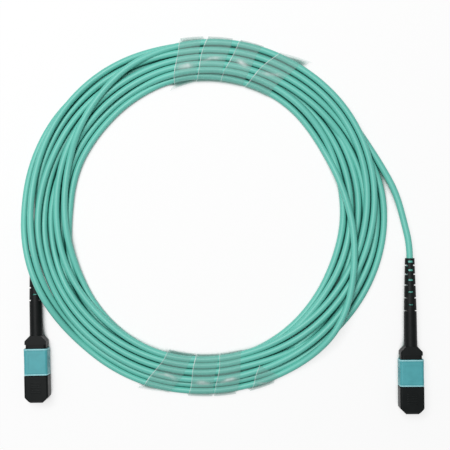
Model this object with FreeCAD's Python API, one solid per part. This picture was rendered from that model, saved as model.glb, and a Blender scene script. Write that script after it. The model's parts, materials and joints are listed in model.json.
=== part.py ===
import FreeCAD, Part
import math
import os

# A patch cable with a multi-fibre push-on plug at each end, lying on a table.
# The cable is wound in a flat coil that two strips of clear film hold together.
# Frame: +X right, +Y away from the plugs' caps, +Z up, z = 0 on the table.
# All lengths are millimetres and all angles degrees.

# Cable and coil
cable_diameter = 3.4
coil_turns = 6
coil_layers = 2
layer_nesting = 0.87
turn_gap = 0.32
coil_inner_radius = 69.8
coil_centre_x = -8.0
coil_centre_y = 5.0
coil_edge_chamfer = 1.0
turn_groove_depth = 0.7
loose_turns = 2
loose_rise_left = 4.6
loose_meet_left = 112.0
loose_rise_right = 3.1
loose_meet_right = 50.0
loose_spread = 0.3

# How the end at plug a sinks into the coil, and how much of a run its bends may take
merge_radius = 51.0
merge_angle = 30.0
arc_share = 0.45

# Outer turns of the coil, arched over the boot of plug b
arch_clearance = 0.4
arch_ramp = 38.8
arch_lead = 7.4
arch_overrun = 29.0
trench_behind = 29.3
trench_ahead = 58.5

# Plug places: end of the boot, beside the coil's outer edge, and how far the plug leans from -Y
plug_a_outset = 13.58
plug_a_y = -17.0
plug_a_lean = 0.6
plug_b_inset = 3.22
plug_b_y = -12.0
plug_b_lean = 1.3

# Free ends of the cable: straight stretch behind each boot, and where each enters the coil
tail_a_straight = 7.0
tail_a_height = 1.9
tail_a_join_in = 11.0
tail_a_join_back = 42.4
tail_b_straight = 7.4
tail_b_join_in = 2.2

# Strain relief boot, measured from its thin end
boot_tail_wall = 0.65
boot_mid_wall = 0.6
boot_wall = 0.8
boot_segments = [3.3, 3.8, 4.8, 5.8, 5.8]
boot_notch_length = 0.8
boot_notch_depth = 1.2
boot_slot_width = 2.6
boot_slot_lengths = [1.1, 1.1, 1.0, 0.9, 0.7]
boot_smooth_length = 17.8
boot_shoulder_length = 4.6
boot_shoulder_width = 11.2
boot_shoulder_height = 7.0
boot_shoulder_taper = 2.7
boot_shoulder_round = 1.0
boot_cavity_lead = 1.5
cable_in_boot_gap = 0.1

# Crimp ring and back body
crimp_wall = 0.35
crimp_length = 7.6
crimp_end_length = 1.2
crimp_waist_depth = 0.15
crimp_set_back = 0.4
post_diameter = 4.0
post_bore = 2.4
post_length = 9.0
collar_width = 10.8
collar_height = 6.6
collar_corner = 1.5
collar_plug_length = 3.6
latch_nub_length = 1.6
latch_nub_height = 2.2
latch_nub_rise = 0.6

# Inner housing
housing_side_step = 0.5
housing_top_step = 0.2
housing_corner = 0.6
housing_rear_length = 12.8
nose_side_step = 0.1
nose_top_step = 0.4
nose_length = 9.8
nose_front_chamfer = 0.5
key_width = 3.0
key_height = 0.8
key_set_back = 1.85
cavity_width = 7.2
cavity_height = 4.4
side_notch_lead = 0.9
side_notch_length = 1.8
side_notch_depth = 0.6
spring_channel_depth = 0.8
spring_channel_height = 1.8
spring_channel_end = 1.0

# Ferrule and what pushes it
ferrule_width = 6.4
ferrule_height = 2.5
ferrule_length = 9.0
flange_height = 3.1
flange_length = 1.8
ferrule_stick_out = 0.5
guide_hole_diameter = 0.7
guide_hole_pitch = 4.6
ferrule_window_lead = 1.0
ferrule_window_length = 2.2
ferrule_boot_wall = 0.3
ferrule_boot_height = 1.5
ferrule_boot_length = 4.5
ferrule_boot_depth = 2.2
keeper_length = 1.9
ribbon_width = 2.9
ribbon_thickness = 0.25
ribbon_slot_gap = 0.25
fibre_bundle_diameter = 1.2
bundle_in_jacket = 1.2
jacket_bore_depth = 2.6
ferrule_spring_wire = 0.45
ferrule_spring_turns = 6
ferrule_spring_sides = 12
sleeve_spring_diameter = 1.2
sleeve_spring_wire = 0.22
sleeve_spring_turns = 7
sleeve_spring_sides = 6

# Coupling sleeve
sleeve_length = 13.8
sleeve_overlap = 0.2
sleeve_wall = 0.65
sleeve_corner = 1.5
sleeve_end_chamfer = 0.35
sleeve_travel = 2.0
lug_length = 1.5
grip_groove_count = 6
grip_groove_pitch = 1.0
grip_groove_width = 0.45
grip_groove_depth = 0.25
rim_length = 0.9
rim_groove_width = 0.3
rim_groove_depth = 0.2
panel_width = 7.4
panel_length = 8.0
panel_depth = 0.15

# Dust cap
cap_side_wall = 1.25
cap_top_wall = 0.65
cap_end_wall = 4.1
cap_end_gap = 0.5
cap_corner = 1.1
cap_front_chamfer_side = 3.0
cap_front_chamfer_top = 0.9

# Film strips round the coil
film_thickness = 0.3
film_turns = 4
top_film_start = 57.7
bottom_film_start = 250.0
film_step = 11.2
film_width = 12.1
film_slant = 4.2
film_span_margin = 2.0
film_overrun = 1.0
outer_flap_reach = 4.8
inner_flap_reach = 2.05
# Cut end of the lower strip: angles from the last turn's own angle, and depths from the coil's outer edge
bottom_film_end = [(0.0, 0.0), (7.5, 0.0), (9.6, 2.3), (5.2, 10.3)]
# Loose film corners: turn, edge, and angles of the root and the tip from the turn's own angle
top_film_flaps = [(0, "outer", 0.5, 5.8, -2.3), (3, "inner", 1.3, 6.3, 9.4)]
bottom_film_flaps = [(0, "outer", 0.5, 4.5, -1.8)]

# Clearances
fit_gap = 0.15
seat_gap = 0.05
film_gap = 0.05
sleeve_cap_gap = 0.3

# Sizes that follow from the pieces they fit
turn_pitch = cable_diameter + turn_gap
coil_outer_radius = coil_inner_radius + coil_turns * turn_pitch
layer_height = layer_nesting * cable_diameter
coil_height = cable_diameter + (coil_layers - 1) * layer_height
crimp_inner_diameter = post_diameter + 2 * fit_gap
crimp_outer_diameter = crimp_inner_diameter + 2 * crimp_wall
boot_bore = cable_diameter + 2 * cable_in_boot_gap
boot_cavity_diameter = crimp_outer_diameter + 2 * fit_gap
boot_tail_diameter = boot_bore + 2 * boot_tail_wall
boot_mid_diameter = boot_cavity_diameter + 2 * boot_mid_wall
boot_neck_diameter = boot_cavity_diameter + 2 * boot_wall
collar_length = sleeve_travel + sleeve_overlap + 2 * seat_gap
housing_width = collar_width - 2 * housing_side_step
housing_height = collar_height - 2 * housing_top_step
nose_width = housing_width - 2 * nose_side_step
nose_height = housing_height - 2 * nose_top_step
flange_width = cavity_width - 2 * fit_gap
ferrule_boot_width = ribbon_width + 2 * ferrule_boot_wall
ferrule_window_width = ribbon_width + 2 * fit_gap
sleeve_width = collar_width + 2 * (fit_gap + sleeve_wall)
sleeve_height = collar_height + 2 * (fit_gap + sleeve_wall)
cap_width = nose_width + 2 * (fit_gap + cap_side_wall)
cap_height = nose_height + 2 * (key_height + fit_gap + cap_top_wall)

# Places along a plug, from the thin end of its boot
boot_slotted_length = sum(boot_segments) + boot_notch_length * len(boot_segments)
shoulder_y = boot_slotted_length + boot_smooth_length
collar_y = shoulder_y + boot_shoulder_length
post_y = collar_y - post_length
crimp_y = post_y + crimp_set_back
sleeve_y = collar_y + collar_length - sleeve_overlap
sleeve_front = sleeve_y + sleeve_length
housing_y = collar_y + collar_length
nose_y = housing_y + housing_rear_length
nose_front = nose_y + nose_length
key_y = sleeve_front + fit_gap
key_front = nose_front - key_set_back
ferrule_front = nose_front + ferrule_stick_out
ferrule_y = ferrule_front - ferrule_length
flange_front = ferrule_y + flange_length
keeper_y = ferrule_y - seat_gap - keeper_length
collar_plug_front = housing_y + collar_plug_length
channel_y = collar_plug_front
channel_front = nose_y - spring_channel_end
lug_front = channel_front - fit_gap
lug_y = lug_front - lug_length
cap_y = sleeve_front + sleeve_cap_gap
cap_cavity_end = ferrule_front + cap_end_gap
cap_front = cap_cavity_end + cap_end_wall
boot_cavity_y = post_y - boot_cavity_lead
jacket_end = post_y - seat_gap

# Places of the plugs and of the room that plug b needs under the coil
axis_height = cap_height / 2
plug_a_x = coil_centre_x + coil_outer_radius + plug_a_outset
plug_b_x = coil_centre_x - coil_outer_radius + plug_b_inset
trench_end_y = plug_b_y + trench_behind
trench_start_y = plug_b_y - trench_ahead
far = 200.0

V = FreeCAD.Vector
coil_centre = V(coil_centre_x, coil_centre_y, 0)
plugs = {
    "a": (plug_a_x, plug_a_y, plug_a_lean),
    "b": (plug_b_x, plug_b_y, plug_b_lean),
}


def slab(x0, x1, y0, y1, z0, z1):
    # Box between two corners
    return Part.makeBox(x1 - x0, y1 - y0, z1 - z0, V(x0, y0, z0))


def bar(width, height, y0, y1):
    # Box centred on the plug's axis
    return slab(-width / 2, width / 2, y0, y1, -height / 2, height / 2)


def rounded_bar(width, height, y0, y1, corner):
    # Bar whose four long edges are rounded
    solid = bar(width, height, y0, y1)
    edges = [e for e in solid.Edges if abs(e.tangentAt(e.FirstParameter).y) > 0.9]
    return solid.makeFillet(corner, edges)


def rod(diameter, y0, y1, x=0):
    # Cylinder along the plug
    return Part.makeCylinder(diameter / 2, y1 - y0, V(x, y0, 0), V(0, 1, 0))


def polygon_face(points):
    return Part.Face(Part.makePolygon(points + [points[0]]))


def side_pair(width, x, y0, y1, height):
    # The same bar at +x and -x
    right = slab(x, x + width, y0, y1, -height / 2, height / 2)
    return right.fuse(right.mirror(V(0, 0, 0), V(1, 0, 0)))


def top_pair(width, y0, y1, z, height):
    # The same bar above and below the axis
    top = slab(-width / 2, width / 2, y0, y1, z, z + height)
    return top.fuse(top.mirror(V(0, 0, 0), V(0, 0, 1)))


def make_shoulder():
    # Flat flange whose sides slope out from the stem
    w = boot_shoulder_width / 2
    h = boot_shoulder_height / 2
    neck = w - boot_shoulder_taper
    wide_y = shoulder_y + boot_shoulder_taper
    plan = [(-w, collar_y), (w, collar_y), (w, wide_y), (neck, shoulder_y), (-neck, shoulder_y), (-w, wide_y)]
    body = polygon_face([V(x, y, -h) for x, y in plan]).extrude(V(0, 0, boot_shoulder_height))
    sides = [
        e for e in body.Edges
        if abs(e.CenterOfMass.y - wide_y) < 1e-6 and abs(e.CenterOfMass.z) < 1e-6
    ]
    return body.makeFillet(boot_shoulder_round, sides)


def make_boot():
    # Tapered tube with a flexible slotted end and sloping shoulders
    profile = [
        V(0, 0, 0),
        V(boot_tail_diameter / 2, 0, 0),
        V(boot_mid_diameter / 2, boot_slotted_length, 0),
        V(boot_neck_diameter / 2, shoulder_y + boot_shoulder_length / 2, 0),
        V(0, shoulder_y + boot_shoulder_length / 2, 0),
    ]
    stem = polygon_face(profile).revolve(V(0, 0, 0), V(0, 1, 0), 360)
    body = stem.fuse(make_shoulder())
    body = body.cut(rod(boot_bore, 0, collar_y))
    body = body.cut(rod(boot_cavity_diameter, boot_cavity_y, collar_y))
    # Each segment has a slot through its top and bottom, then a notch in both sides
    y = 0
    spread = (boot_mid_diameter - boot_tail_diameter) / 2 / boot_slotted_length
    for length, slot in zip(boot_segments, boot_slot_lengths):
        middle = y + length / 2
        body = body.cut(top_pair(boot_slot_width, middle - slot / 2, middle + slot / 2,
                                 cable_diameter / 4, collar_height))
        y += length
        notch_x = boot_tail_diameter / 2 + spread * y - boot_notch_depth
        body = body.cut(side_pair(collar_width, notch_x, y, y + boot_notch_length, collar_height))
        y += boot_notch_length
    return body.removeSplitter()


def make_crimp_ring():
    # Ring pressed on the post, waisted where the crimp tool closed it
    y0 = crimp_y
    y1 = crimp_y + crimp_length
    waist0 = y0 + crimp_end_length
    waist1 = y1 - crimp_end_length
    wide = crimp_outer_diameter / 2
    waist = wide - crimp_waist_depth
    bore = crimp_inner_diameter / 2
    profile = [(bore, y0), (wide, y0), (waist, waist0), (waist, waist1), (wide, y1), (bore, y1)]
    section = polygon_face([V(r, y, 0) for r, y in profile])
    return section.revolve(V(0, 0, 0), V(0, 1, 0), 360)


def make_back_body():
    # Collar behind the sleeve, a post for the crimp and a plug that snaps into the housing
    body = rounded_bar(collar_width, collar_height, collar_y + seat_gap, housing_y, collar_corner)
    body = body.fuse(rod(post_diameter, post_y, collar_y + seat_gap))
    plug_width = cavity_width - 2 * fit_gap
    plug_height = cavity_height - 2 * fit_gap
    body = body.fuse(bar(plug_width, plug_height, housing_y, collar_plug_front - seat_gap))
    nub_y = housing_y + (collar_plug_length - latch_nub_length) / 2
    body = body.fuse(side_pair(latch_nub_rise, plug_width / 2, nub_y, nub_y + latch_nub_length,
                               latch_nub_height))
    body = body.cut(rod(post_bore, post_y, collar_y + seat_gap))
    slot_width = ribbon_width + 2 * ribbon_slot_gap
    body = body.cut(bar(slot_width, post_bore / 2, collar_y + seat_gap, collar_plug_front))
    return body.removeSplitter()


def make_inner_housing():
    # Rectangular tube: rear part in the sleeve, keyed nose in front of it
    rear = rounded_bar(housing_width, housing_height, housing_y + seat_gap, nose_y, housing_corner)
    nose = rounded_bar(nose_width, nose_height, nose_y, nose_front, housing_corner)
    front_edges = [e for e in nose.Edges if e.BoundBox.YMin > nose_front - 1e-6]
    nose = nose.makeChamfer(nose_front_chamfer, front_edges)
    key_top = nose_height / 2 + key_height
    key = slab(-key_width / 2, key_width / 2, key_y, key_front, 0, key_top)
    body = rear.fuse([nose, key])
    body = body.cut(bar(cavity_width, cavity_height, housing_y, flange_front + seat_gap))
    body = body.cut(bar(ferrule_width + 2 * fit_gap, ferrule_height + 2 * fit_gap,
                        flange_front, nose_front))
    # Windows for the back body's nubs
    nub_y = housing_y + (collar_plug_length - latch_nub_length) / 2
    body = body.cut(bar(far, latch_nub_height + 2 * fit_gap,
                        nub_y - fit_gap, nub_y + latch_nub_length + fit_gap))
    # Channels for the two sleeve springs, and notches that an adapter's hooks hold
    channel_x = housing_width / 2 - spring_channel_depth
    body = body.cut(side_pair(housing_width, channel_x, channel_y, channel_front,
                              spring_channel_height))
    notch_x = nose_width / 2 - side_notch_depth
    notch_y = nose_y + side_notch_lead
    body = body.cut(side_pair(housing_width, notch_x, notch_y, notch_y + side_notch_length, far))
    return body.removeSplitter()


def make_ferrule():
    # Precision block that holds the row of fibres between two guide holes
    body = bar(ferrule_width, ferrule_height, ferrule_y, ferrule_front)
    body = body.fuse(bar(flange_width, flange_height, ferrule_y, flange_front))
    for x in (-guide_hole_pitch / 2, guide_hole_pitch / 2):
        body = body.cut(rod(guide_hole_diameter, ferrule_y, ferrule_front, x))
    pocket_width = ferrule_boot_width + 2 * fit_gap
    pocket_height = ferrule_boot_height + 2 * fit_gap
    body = body.cut(bar(pocket_width, pocket_height, ferrule_y, ferrule_y + ferrule_boot_depth))
    body = body.cut(bar(ribbon_width + 2 * seat_gap, ribbon_thickness + 2 * seat_gap,
                        ferrule_y, ferrule_front))
    window_y = flange_front + ferrule_window_lead
    body = body.cut(slab(-ferrule_window_width / 2, ferrule_window_width / 2,
                         window_y, window_y + ferrule_window_length, 0, ferrule_height))
    return body.removeSplitter()


def make_ferrule_boot():
    # Soft sleeve that guides the ribbon into the ferrule
    front = ferrule_y + ferrule_boot_depth - seat_gap
    body = bar(ferrule_boot_width, ferrule_boot_height, front - ferrule_boot_length, front)
    return body.cut(bar(ribbon_width + 2 * seat_gap, ribbon_thickness + 2 * seat_gap,
                        front - ferrule_boot_length, front))


def make_pin_keeper():
    # Plate behind the ferrule, bored in line with the guide holes
    body = bar(flange_width, flange_height, keeper_y, keeper_y + keeper_length)
    body = body.cut(bar(ferrule_boot_width + 2 * fit_gap, ferrule_boot_height + 2 * fit_gap,
                        keeper_y, keeper_y + keeper_length))
    for x in (-guide_hole_pitch / 2, guide_hole_pitch / 2):
        body = body.cut(rod(guide_hole_diameter, keeper_y, keeper_y + keeper_length, x))
    return body


def wound_spring(width, height, wire, y0, y1, turns, sides, x=0):
    # Square wire wound on an oval, from y0 to y1
    steps = turns * sides
    rise = (y1 - y0 - wire) / steps
    sections = []
    for step in range(steps + 1):
        angle = 2 * math.pi * step / sides
        out = V(math.cos(angle), 0, math.sin(angle))
        rim = V(out.x * (width / 2), 0, out.z * (height / 2))
        y = y0 + wire / 2 + rise * step
        corners = []
        for inset, along in ((0, -0.5), (0, 0.5), (1, 0.5), (1, -0.5)):
            corners.append(rim - out * (inset * wire) + V(x, y + along * wire, 0))
        sections.append(Part.makePolygon(corners + [corners[0]]))
    return Part.makeLoft(sections, True, True)


def make_ferrule_spring():
    width = cavity_width - 4 * fit_gap
    height = cavity_height - 4 * fit_gap
    return wound_spring(width, height, ferrule_spring_wire, collar_plug_front + seat_gap,
                        keeper_y - seat_gap, ferrule_spring_turns, ferrule_spring_sides)


def make_sleeve_springs():
    # One spring in each side channel of the housing, behind the sleeve's lug
    x = housing_width / 2 - spring_channel_depth + seat_gap + sleeve_spring_diameter / 2
    springs = [
        wound_spring(sleeve_spring_diameter, sleeve_spring_diameter, sleeve_spring_wire,
                     channel_y + seat_gap, lug_y - seat_gap, sleeve_spring_turns,
                     sleeve_spring_sides, side * x)
        for side in (-1, 1)
    ]
    return Part.makeCompound(springs)


def make_fibre_ribbon():
    # Round bundle of fibres that flattens into a ribbon on its way to the ferrule
    flat_y = collar_plug_front
    bundle = rod(fibre_bundle_diameter, jacket_end - bundle_in_jacket, collar_y)
    wide = fibre_bundle_diameter / math.sqrt(2) - seat_gap
    sections = []
    for y, width, height in ((collar_y, wide, wide), (flat_y, ribbon_width, ribbon_thickness)):
        w = width / 2
        h = height / 2
        corners = [V(-w, y, -h), V(w, y, -h), V(w, y, h), V(-w, y, h)]
        sections.append(Part.makePolygon(corners + [corners[0]]))
    spread = Part.makeLoft(sections, True, True)
    ribbon = bar(ribbon_width, ribbon_thickness, flat_y, ferrule_front)
    return bundle.fuse([spread, ribbon]).removeSplitter()


def make_coupling_sleeve():
    # Sliding grip: rounded tube with rims, side serrations and two inner lugs
    body = rounded_bar(sleeve_width, sleeve_height, sleeve_y, sleeve_front, sleeve_corner)
    end_edges = [
        e for e in body.Edges
        if e.BoundBox.YMax < sleeve_y + 1e-6 or e.BoundBox.YMin > sleeve_front - 1e-6
    ]
    body = body.makeChamfer(sleeve_end_chamfer, end_edges)
    inner_width = sleeve_width - 2 * sleeve_wall
    inner_height = sleeve_height - 2 * sleeve_wall
    body = body.cut(rounded_bar(inner_width, inner_height, sleeve_y, sleeve_front,
                                sleeve_corner - sleeve_wall))
    lug_x = housing_width / 2 - spring_channel_depth + fit_gap
    body = body.fuse(side_pair(sleeve_width / 2 - sleeve_wall / 2 - lug_x, lug_x, lug_y, lug_front,
                               spring_channel_height - 2 * fit_gap))
    # Serrations across both narrow sides
    grip_x = sleeve_width / 2 - grip_groove_depth
    first = (sleeve_y + sleeve_front - grip_groove_pitch * (grip_groove_count - 1)) / 2
    for index in range(grip_groove_count):
        middle = first + index * grip_groove_pitch
        body = body.cut(side_pair(far, grip_x, middle - grip_groove_width / 2,
                                  middle + grip_groove_width / 2, far))
    # A line that sets off the rim at each end, and a shallow bare panel on both wide faces
    for y in (sleeve_y + rim_length, sleeve_front - rim_length - rim_groove_width):
        body = body.cut(top_pair(far, y, y + rim_groove_width,
                                 sleeve_height / 2 - rim_groove_depth, far))
    panel_y = (sleeve_y + sleeve_front - panel_length) / 2
    body = body.cut(top_pair(panel_width, panel_y, panel_y + panel_length,
                             sleeve_height / 2 - panel_depth, far))
    return body.removeSplitter()


def make_dust_cap():
    # Closed push-on cap with cut front corners and a keyway
    body = rounded_bar(cap_width, cap_height, cap_y, cap_front, cap_corner)
    w = cap_width / 2
    h = cap_height / 2
    side_cut = cap_front_chamfer_side
    top_cut = cap_front_chamfer_top
    plan = [V(-w, cap_y, -h), V(w, cap_y, -h), V(w, cap_front - side_cut, -h),
            V(w - side_cut, cap_front, -h), V(side_cut - w, cap_front, -h),
            V(-w, cap_front - side_cut, -h)]
    body = body.common(polygon_face(plan).extrude(V(0, 0, cap_height)))
    side = [V(-w, cap_y, -h), V(-w, cap_front - top_cut, -h), V(-w, cap_front, top_cut - h),
            V(-w, cap_front, h - top_cut), V(-w, cap_front - top_cut, h), V(-w, cap_y, h)]
    body = body.common(polygon_face(side).extrude(V(cap_width, 0, 0)))
    body = body.cut(bar(nose_width + 2 * fit_gap, nose_height + 2 * fit_gap, cap_y, cap_cavity_end))
    keyway = key_width + 2 * fit_gap
    body = body.cut(slab(-keyway / 2, keyway / 2, cap_y, cap_cavity_end,
                         0, nose_height / 2 + key_height + fit_gap))
    return body.removeSplitter()


def make_cable_end():
    # Jacket inside the boot, open at its end where the fibres leave it
    end = rod(cable_diameter, 0, jacket_end)
    bore = fibre_bundle_diameter + 2 * fit_gap
    return end.cut(rod(bore, jacket_end - jacket_bore_depth, jacket_end))


def place_plug(shape, plug):
    # Turns a plug piece so that its cap points along -Y, and sets it at its place
    x, y, lean = plugs[plug]
    moved = shape.copy()
    moved.Placement = FreeCAD.Placement(V(x, y, axis_height), FreeCAD.Rotation(V(0, 0, 1), 180 + lean))
    return moved


def cord_tube(name, points):
    # Straight runs joined by tangent arcs, each as large as its two runs allow
    edges = []
    start = points[0]
    radii = []
    for before, corner, after in zip(points, points[1:], points[2:]):
        run_in = (corner - before)
        run_out = (after - corner)
        turn = run_in.getAngle(run_out)
        reach = arc_share * min(run_in.Length, run_out.Length)
        radius = reach / math.tan(turn / 2)
        way_in = V(run_in).normalize()
        way_out = V(run_out).normalize()
        arc_start = corner - way_in * reach
        arc_end = corner + way_out * reach
        inward = (way_out - way_in).normalize()
        middle = corner + inward * (radius / math.cos(turn / 2) - radius)
        edges.append(Part.LineSegment(start, arc_start).toShape())
        edges.append(Part.Arc(arc_start, middle, arc_end).toShape())
        start = arc_end
        radii.append(round(radius, 1))
    edges.append(Part.LineSegment(start, points[-1]).toShape())
    path = Part.Wire(edges)
    rim = Part.Wire(Part.makeCircle(cable_diameter / 2, points[0], points[1] - points[0]))
    tube = path.makePipeShell([rim], True, False)
    section = math.pi * cable_diameter ** 2 / 4
    print(name, "radii", radii, "volume over section times length",
          round(tube.Volume / (section * path.Length), 4))
    return tube


def plug_point(plug, forward, z=axis_height):
    # A point on a plug's axis, so far in front of the boot's thin end
    x, y, lean = plugs[plug]
    turn = math.radians(lean)
    return V(x + forward * math.sin(turn), y - forward * math.cos(turn), z)


# The free stretch at plug a, from its boot to the outside of the coil
tail_a_points = [
    plug_point("a", 0),
    plug_point("a", -tail_a_straight),
    V(plug_a_x - 2.7, plug_a_y + 18.7, 3.2),
    V(plug_a_x - 6.0, plug_a_y + 31.5, tail_a_height),
    V(plug_a_x - tail_a_join_in, plug_a_y + tail_a_join_back, tail_a_height),
]
# The free stretch at plug b, from its boot under the outer turns into the coil
tail_b_points = [
    plug_point("b", 0),
    plug_point("b", -tail_b_straight),
    V(plug_b_x + 1.0, plug_b_y + 14.3, 2.8),
    V(plug_b_x + tail_b_join_in, plug_b_y + 21.8, cable_diameter / 2),
    V(plug_b_x + tail_b_join_in, trench_end_y, cable_diameter / 2),
]


def around_coil(radius, angle, z=0):
    turn = math.radians(angle)
    return coil_centre + V(radius * math.cos(turn), radius * math.sin(turn), z)


def loose_disc(rise, meet, side):
    # Centre and radius of the circle that the loose outer turns follow on one side
    reach = coil_outer_radius + rise
    edge = coil_outer_radius * math.cos(math.radians(180 - meet if side < 0 else meet))
    shift = (reach ** 2 - coil_outer_radius ** 2) / (2 * (reach - edge))
    return coil_centre + V(side * shift, 0, 0), reach - shift


def loose_band(rise, meet, side, height):
    # The outer turns on one side, where nothing ties them
    centre, radius = loose_disc(rise, meet, side)
    band_width = loose_turns * turn_pitch + loose_spread
    band = Part.makeCylinder(radius, height, centre)
    band = band.cut(Part.makeCylinder(radius - band_width, height, centre))
    edge_x = around_coil(coil_outer_radius, meet).x
    x0 = edge_x if side > 0 else -far
    x1 = far if side > 0 else edge_x
    return band.common(slab(x0, x1, -far, far, 0, height))


def arch_edges(z):
    # Height of the arch along Y: a ramp of two arcs up, a level top and a ramp down
    rise = axis_height + boot_mid_diameter / 2 + arch_clearance
    high_start = plug_b_y + arch_lead
    high_end = plug_b_y - arch_overrun
    edges = []

    def ramp(y_low, y_high):
        mid = V(0, (y_low + y_high) / 2, z + rise / 2)
        quarter = (y_high - y_low) / 4
        dip = rise / 8
        low = V(0, y_low, z)
        high = V(0, y_high, z + rise)
        below = Part.Arc(low, V(0, y_low + quarter, z + dip), mid)
        above = Part.Arc(mid, V(0, y_high - quarter, z + rise - dip), high)
        return [below, above]

    edges += ramp(high_start + arch_ramp, high_start)
    edges.append(Part.LineSegment(V(0, high_start, z + rise), V(0, high_end, z + rise)))
    down = ramp(high_end - arch_ramp, high_end)
    edges += [down[1], down[0]]
    shapes = [Part.LineSegment(V(0, far, z), V(0, high_start + arch_ramp, z)).toShape()]
    shapes += [e.toShape() for e in edges]
    shapes.append(Part.LineSegment(V(0, high_end - arch_ramp, z), V(0, -far, z)).toShape())
    return shapes


def make_arch():
    # Slab as thick as the cable that rises over the boot of plug b
    under = arch_edges(0)
    over = arch_edges(cable_diameter)
    ends = [
        Part.makeLine(V(0, far, 0), V(0, far, cable_diameter)),
        Part.makeLine(V(0, -far, 0), V(0, -far, cable_diameter)),
    ]
    outline = Part.Wire(Part.__sortEdges__(under + over + ends))
    return Part.Face(outline).extrude(V(-far, 0, 0))


def coil_profile():
    # Section of the tied coil: chamfered edges, a groove between each two turns and between its layers
    c = coil_edge_chamfer
    g = turn_groove_depth
    h = coil_height
    r0 = coil_inner_radius
    r1 = coil_outer_radius
    seams = [cable_diameter / 2 + (layer + 0.5) * layer_height for layer in range(coil_layers - 1)]
    points = [(r0 + c, 0), (r1 - c, 0), (r1, c)]
    for z in seams:
        points += [(r1, z - g), (r1 - g, z), (r1, z + g)]
    points += [(r1, h - c), (r1 - c, h)]
    for turn in range(coil_turns - 1, 0, -1):
        r = r0 + turn * turn_pitch
        points += [(r + g, h), (r, h - g), (r - g, h)]
    points += [(r0 + c, h), (r0, h - c)]
    for z in reversed(seams):
        points += [(r0, z + g), (r0 + g, z), (r0, z - g)]
    points.append((r0, c))
    return polygon_face([coil_centre + V(r, 0, z) for r, z in points])


def make_cable_coil():
    ring = coil_profile().revolve(coil_centre, V(0, 0, 1), 360)
    # Room for plug b's boot and its end of the cable under the outer turns
    inner_lane = coil_outer_radius - loose_turns * turn_pitch
    trench = slab(-far, coil_centre_x, trench_start_y, trench_end_y, 0, 2 * coil_height)
    trench = trench.cut(Part.makeCylinder(inner_lane, 2 * coil_height, coil_centre))
    ring = ring.cut(trench)
    for start in (top_film_start, bottom_film_start):
        ring = ring.cut(film_seat(start))
    left = loose_band(loose_rise_left, loose_meet_left, -1, 2 * axis_height + 2 * cable_diameter)
    left = left.common(make_arch())
    right = loose_band(loose_rise_right, loose_meet_right, 1, cable_diameter)
    return ring.fuse([left, right, make_merge()]).removeSplitter()


def make_merge():
    # The last of plug a's stretch, which sinks into the coil
    start = tail_a_points[-1]
    way = (start - tail_a_points[-2])
    way.z = 0
    way.normalize()
    left = V(-way.y, way.x, 0)
    rim = Part.Face(Part.Wire(Part.makeCircle(cable_diameter / 2, start, way)))
    return rim.revolve(start + left * merge_radius, V(0, 0, 1), merge_angle)


def film_section(offset):
    # The coil's outline, without its grooves, moved outwards
    c = coil_edge_chamfer + offset * (2 - math.sqrt(2))
    r0 = coil_inner_radius - offset
    r1 = coil_outer_radius + offset
    z0 = film_thickness + film_gap - offset
    z1 = coil_height + offset
    low = c - offset
    points = [(r0 + low - z0, z0), (r1 - low + z0, z0), (r1, low), (r1, z1 - c), (r1 - c, z1),
              (r0 + c, z1), (r0, z1 - c), (r0, low)]
    return polygon_face([coil_centre + V(r, 0, z) for r, z in points])


def film_span(start):
    # First and last angle that a strip covers
    return start - film_span_margin, start + film_step * film_turns + 2 * film_span_margin


def strip_angle(radius):
    # Angle that the strip's width takes up at a radius
    return math.degrees(film_width / radius)


def film_seat(start):
    # The turns lie higher by the film under them
    first, last = film_span(start)
    r0 = coil_inner_radius - film_overrun
    r1 = coil_outer_radius + film_overrun
    depth = film_thickness + film_gap
    corners = [V(r0, 0, 0), V(r1, 0, 0), V(r1, 0, depth), V(r0, 0, depth)]
    seat = polygon_face([coil_centre + corner for corner in corners])
    seat.rotate(coil_centre, V(0, 0, 1), first)
    return seat.revolve(coil_centre, V(0, 0, 1), last - first)


def film_lane(outer_angle, inner_angle, z0, z1):
    # Slanted lane across the coil, as wide as the strip
    r0 = coil_inner_radius - film_overrun
    r1 = coil_outer_radius + film_overrun
    corners = [
        around_coil(r1, outer_angle, z0),
        around_coil(r1, outer_angle + strip_angle(r1), z0),
        around_coil(r0, inner_angle + strip_angle(r0), z0),
        around_coil(r0, inner_angle, z0),
    ]
    return polygon_face(corners).extrude(V(0, 0, z1 - z0))


def film_flap(start, turn, edge, first, last, tip):
    # Loose pointed corner of the strip, rooted in the film's own thickness
    z = coil_height / 2
    root = film_gap + film_thickness / 2
    angle = start + turn * film_step
    if edge == "outer":
        root_radius = coil_outer_radius + root
        tip_radius = coil_outer_radius + outer_flap_reach
    else:
        root_radius = coil_inner_radius - root
        tip_radius = coil_inner_radius - inner_flap_reach
        angle += film_slant
    corners = [around_coil(root_radius, angle + first, z), around_coil(root_radius, angle + last, z),
               around_coil(tip_radius, angle + tip, z)]
    return polygon_face(corners).extrude(V(0, 0, film_thickness))


def film_end(angle, cut, z0, z1):
    # Last turn of a strip that stops on top of the coil, cut to a point
    corners = [around_coil(coil_outer_radius + film_overrun - depth, angle + a, z0) for a, depth in cut]
    return polygon_face(corners).extrude(V(0, 0, z1 - z0))


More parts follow.
